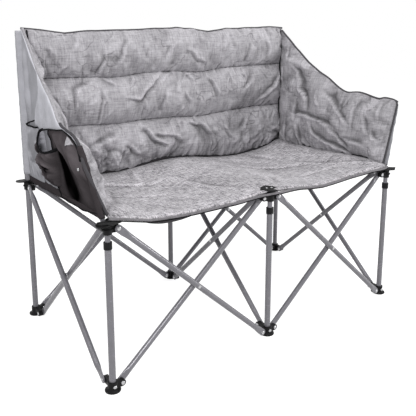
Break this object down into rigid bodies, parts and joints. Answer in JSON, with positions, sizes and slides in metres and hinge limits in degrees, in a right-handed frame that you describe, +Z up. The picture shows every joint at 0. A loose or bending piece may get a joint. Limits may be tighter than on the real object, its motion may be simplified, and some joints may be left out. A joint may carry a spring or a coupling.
{
  "type": "folding camping loveseat",
  "caption": "Folding two-person camping loveseat with crossed steel braces, padded cloth seat, back and arms, and side pockets.",
  "frame": {"origin": "on the floor, under the middle of the two rows of posts", "axes": "+Z up, +X along the seat's length, +Y from the front legs to the rear posts; the seat faces -Y"},
  "size_m": [1.1704, 0.5965, 0.908],
  "materials": {
    "frame_paint": "warm grey powder coat, satin",
    "black_plastic": "moulded, matte",
    "rivet_steel": "bright rivet",
    "grey_cloth": "padded mottled grey weave",
    "dark_cloth": "smooth charcoal polyester"
  },
  "bodies": {
    "front_left_post": {"foot_front_left": "black_plastic", "leg_front_left": "frame_paint", "collar_front_left": "black_plastic"},
    "front_left_hub": {"hub_front_left": "black_plastic", "slider_front_left": "frame_paint", "arm_pole_left": "frame_paint"},
    "front_centre_post": {"foot_front_centre": "black_plastic", "leg_front_centre": "frame_paint", "collar_front_centre": "black_plastic"},
    "front_centre_hub": {"hub_front_centre": "black_plastic", "slider_front_centre": "frame_paint", "seat_cap": "black_plastic"},
    "front_right_post": {"foot_front_right": "black_plastic", "leg_front_right": "frame_paint", "collar_front_right": "black_plastic"},
    "front_right_hub": {"hub_front_right": "black_plastic", "slider_front_right": "frame_paint", "arm_pole_right": "frame_paint"},
    "rear_left_post": {"foot_rear_left": "black_plastic", "post_rear_left": "frame_paint", "post_cap_rear_left": "black_plastic"},
    "rear_left_hub": {"hub_rear_left": "black_plastic", "arm_panel_left": "grey_cloth", "cup_pocket": "dark_cloth", "flat_pocket": "dark_cloth"},
    "rear_centre_post": {"foot_rear_centre": "black_plastic", "post_rear_centre": "frame_paint", "post_cap_rear_centre": "black_plastic"},
    "rear_centre_hub": {"hub_rear_centre": "black_plastic", "backrest": "grey_cloth"},
    "rear_right_post": {"foot_rear_right": "black_plastic", "post_rear_right": "frame_paint", "post_cap_rear_right": "black_plastic"},
    "rear_right_hub": {"hub_rear_right": "black_plastic", "arm_panel_right": "grey_cloth"},
    "brace_rear_left_from_right": {"brace_rear_left_from_right": "frame_paint", "crossing_rivet_rear_left": "rivet_steel"},
    "brace_rear_left_from_left": {"brace_rear_left_from_left": "frame_paint"},
    "brace_rear_right_from_left": {"brace_rear_right_from_left": "frame_paint", "crossing_rivet_rear_right": "rivet_steel"},
    "brace_rear_right_from_right": {"brace_rear_right_from_right": "frame_paint"},
    "brace_middle_from_rear": {"brace_middle_from_rear": "frame_paint", "crossing_rivet_middle": "rivet_steel"},
    "brace_middle_from_front": {"brace_middle_from_front": "frame_paint"},
    "brace_side_left_from_rear": {"brace_side_left_from_rear": "frame_paint", "crossing_rivet_side_left": "rivet_steel"},
    "brace_side_left_from_front": {"brace_side_left_from_front": "frame_paint"},
    "brace_side_right_from_rear": {"brace_side_right_from_rear": "frame_paint", "crossing_rivet_side_right": "rivet_steel"},
    "brace_side_right_from_front": {"brace_side_right_from_front": "frame_paint"},
    "brace_front_left_from_right": {"brace_front_left_from_right": "frame_paint", "crossing_rivet_front_left": "rivet_steel"},
    "brace_front_left_from_left": {"brace_front_left_from_left": "frame_paint"},
    "brace_front_right_from_left": {"brace_front_right_from_left": "frame_paint", "crossing_rivet_front_right": "rivet_steel"},
    "brace_front_right_from_right": {"brace_front_right_from_right": "frame_paint"},
    "seat_rear_half": {"seat_rear": "grey_cloth"},
    "seat_front_half": {"seat_front": "grey_cloth"}
  },
  "joints": [
    {"name": "rear_left_fold", "type": "hinge", "parent": "rear_centre_post", "child": "brace_rear_left_from_right", "pos_m": [-0.026, 0.2725, 0.016], "axis": [0, 1, 0], "range_deg": [0, 44], "deforming": ["seat_rear", "seat_front", "backrest", "arm_panel_left", "arm_panel_right", "cup_pocket", "flat_pocket"]},
    {"name": "rear_left_crossing", "type": "hinge", "parent": "brace_rear_left_from_right", "child": "brace_rear_left_from_left", "pos_m": [-0.26, 0.2725, 0.223], "axis": [0, 1, 0], "range_deg": [-88.02, 0]},
    {"name": "rear_left_far_foot", "type": "hinge", "parent": "brace_rear_left_from_left", "child": "rear_left_post", "pos_m": [-0.494, 0.2725, 0.016], "axis": [0, 1, 0], "range_deg": [0, 44.02]},
    {"name": "rear_left_far_hub", "type": "hinge", "parent": "brace_rear_left_from_right", "child": "rear_left_hub", "pos_m": [-0.494, 0.2725, 0.43], "axis": [0, 1, 0], "range_deg": [-44.02, 0]},
    {"name": "rear_left_near_hub", "type": "hinge", "parent": "brace_rear_left_from_left", "child": "rear_centre_hub", "pos_m": [-0.026, 0.2725, 0.43], "axis": [0, 1, 0], "range_deg": [0, 44.02]},
    {"name": "rear_right_fold", "type": "hinge", "parent": "rear_centre_post", "child": "brace_rear_right_from_left", "pos_m": [0.026, 0.2725, 0.016], "axis": [0, 1, 0], "range_deg": [-44.02, 0]},
    {"name": "rear_right_crossing", "type": "hinge", "parent": "brace_rear_right_from_left", "child": "brace_rear_right_from_right", "pos_m": [0.26, 0.2725, 0.223], "axis": [0, 1, 0], "range_deg": [0, 88.02]},
    {"name": "rear_right_far_foot", "type": "hinge", "parent": "brace_rear_right_from_right", "child": "rear_right_post", "pos_m": [0.494, 0.2725, 0.016], "axis": [0, 1, 0], "range_deg": [-44.02, 0]},
    {"name": "rear_right_far_hub", "type": "hinge", "parent": "brace_rear_right_from_left", "child": "rear_right_hub", "pos_m": [0.494, 0.2725, 0.43], "axis": [0, 1, 0], "range_deg": [0, 44.02]},
    {"name": "middle_fold", "type": "hinge", "parent": "rear_centre_post", "child": "brace_middle_from_rear", "pos_m": [0, 0.234, 0.016], "axis": [1, 0, 0], "range_deg": [-44.02, 0]},
    {"name": "middle_crossing", "type": "hinge", "parent": "brace_middle_from_rear", "child": "brace_middle_from_front", "pos_m": [0, 0, 0.223], "axis": [1, 0, 0], "range_deg": [0, 88.02]},
    {"name": "middle_far_foot", "type": "hinge", "parent": "brace_middle_from_front", "child": "front_centre_post", "pos_m": [0, -0.234, 0.016], "axis": [1, 0, 0], "range_deg": [-44.02, 0]},
    {"name": "middle_far_hub", "type": "hinge", "parent": "brace_middle_from_rear", "child": "front_centre_hub", "pos_m": [0, -0.234, 0.43], "axis": [1, 0, 0], "range_deg": [0, 44.02]},
    {"name": "side_left_fold", "type": "hinge", "parent": "rear_left_post", "child": "brace_side_left_from_rear", "pos_m": [-0.52, 0.234, 0.016], "axis": [1, 0, 0], "range_deg": [-44.02, 0]},
    {"name": "side_left_crossing", "type": "hinge", "parent": "brace_side_left_from_rear", "child": "brace_side_left_from_front", "pos_m": [-0.52, 0, 0.223], "axis": [1, 0, 0], "range_deg": [0, 88.02]},
    {"name": "side_left_far_foot", "type": "hinge", "parent": "brace_side_left_from_front", "child": "front_left_post", "pos_m": [-0.52, -0.234, 0.016], "axis": [1, 0, 0], "range_deg": [-44.02, 0]},
    {"name": "side_left_far_hub", "type": "hinge", "parent": "brace_side_left_from_rear", "child": "front_left_hub", "pos_m": [-0.52, -0.234, 0.43], "axis": [1, 0, 0], "range_deg": [0, 44.02]},
    {"name": "side_right_fold", "type": "hinge", "parent": "rear_right_post", "child": "brace_side_right_from_rear", "pos_m": [0.52, 0.234, 0.016], "axis": [1, 0, 0], "range_deg": [-44.02, 0]},
    {"name": "side_right_crossing", "type": "hinge", "parent": "brace_side_right_from_rear", "child": "brace_side_right_from_front", "pos_m": [0.52, 0, 0.223], "axis": [1, 0, 0], "range_deg": [0, 88.02]},
    {"name": "side_right_far_foot", "type": "hinge", "parent": "brace_side_right_from_front", "child": "front_right_post", "pos_m": [0.52, -0.234, 0.016], "axis": [1, 0, 0], "range_deg": [-44.02, 0]},
    {"name": "side_right_far_hub", "type": "hinge", "parent": "brace_side_right_from_rear", "child": "front_right_hub", "pos_m": [0.52, -0.234, 0.43], "axis": [1, 0, 0], "range_deg": [0, 44.02]},
    {"name": "front_left_fold", "type": "hinge", "parent": "front_centre_post", "child": "brace_front_left_from_right", "pos_m": [-0.026, -0.2725, 0.016], "axis": [0, 1, 0], "range_deg": [0, 44.02]},
    {"name": "front_left_crossing", "type": "hinge", "parent": "brace_front_left_from_right", "child": "brace_front_left_from_left", "pos_m": [-0.26, -0.2725, 0.223], "axis": [0, 1, 0], "range_deg": [-88.02, 0]},
    {"name": "front_right_fold", "type": "hinge", "parent": "front_centre_post", "child": "brace_front_right_from_left", "pos_m": [0.026, -0.2725, 0.016], "axis": [0, 1, 0], "range_deg": [-44.02, 0]},
    {"name": "front_right_crossing", "type": "hinge", "parent": "brace_front_right_from_left", "child": "brace_front_right_from_right", "pos_m": [0.26, -0.2725, 0.223], "axis": [0, 1, 0], "range_deg": [0, 88.02]},
    {"name": "seat_rear_fold", "type": "hinge", "parent": "rear_centre_hub", "child": "seat_rear_half", "pos_m": [0, 0.2555, 0.4545], "axis": [1, 0, 0], "range_deg": [0, 78.02]},
    {"name": "seat_front_fold", "type": "hinge", "parent": "front_centre_hub", "child": "seat_front_half", "pos_m": [0, -0.2725, 0.4545], "axis": [1, 0, 0], "range_deg": [-78.02, 0]}
  ],
  "couplings": [
    {"joint": "rear_left_crossing", "follows": "rear_left_fold", "ratio": -2},
    {"joint": "rear_left_far_foot", "follows": "rear_left_fold", "ratio": 1},
    {"joint": "rear_left_far_hub", "follows": "rear_left_fold", "ratio": -1},
    {"joint": "rear_left_near_hub", "follows": "rear_left_fold", "ratio": 1},
    {"joint": "rear_right_fold", "follows": "rear_left_fold", "ratio": -1},
    {"joint": "rear_right_crossing", "follows": "rear_left_fold", "ratio": 2},
    {"joint": "rear_right_far_foot", "follows": "rear_left_fold", "ratio": -1},
    {"joint": "rear_right_far_hub", "follows": "rear_left_fold", "ratio": 1},
    {"joint": "middle_fold", "follows": "rear_left_fold", "ratio": -1},
    {"joint": "middle_crossing", "follows": "rear_left_fold", "ratio": 2},
    {"joint": "middle_far_foot", "follows": "rear_left_fold", "ratio": -1},
    {"joint": "middle_far_hub", "follows": "rear_left_fold", "ratio": 1},
    {"joint": "side_left_fold", "follows": "rear_left_fold", "ratio": -1},
    {"joint": "side_left_crossing", "follows": "rear_left_fold", "ratio": 2},
    {"joint": "side_left_far_foot", "follows": "rear_left_fold", "ratio": -1},
    {"joint": "side_left_far_hub", "follows": "rear_left_fold", "ratio": 1},
    {"joint": "side_right_fold", "follows": "rear_left_fold", "ratio": -1},
    {"joint": "side_right_crossing", "follows": "rear_left_fold", "ratio": 2},
    {"joint": "side_right_far_foot", "follows": "rear_left_fold", "ratio": -1},
    {"joint": "side_right_far_hub", "follows": "rear_left_fold", "ratio": 1},
    {"joint": "front_left_fold", "follows": "rear_left_fold", "ratio": 1},
    {"joint": "front_left_crossing", "follows": "rear_left_fold", "ratio": -2},
    {"joint": "front_right_fold", "follows": "rear_left_fold", "ratio": -1},
    {"joint": "front_right_crossing", "follows": "rear_left_fold", "ratio": 2},
    {"joint": "seat_rear_fold", "follows": "rear_left_fold", "ratio": 1.7727},
    {"joint": "seat_front_fold", "follows": "rear_left_fold", "ratio": -1.7727}
  ]
}
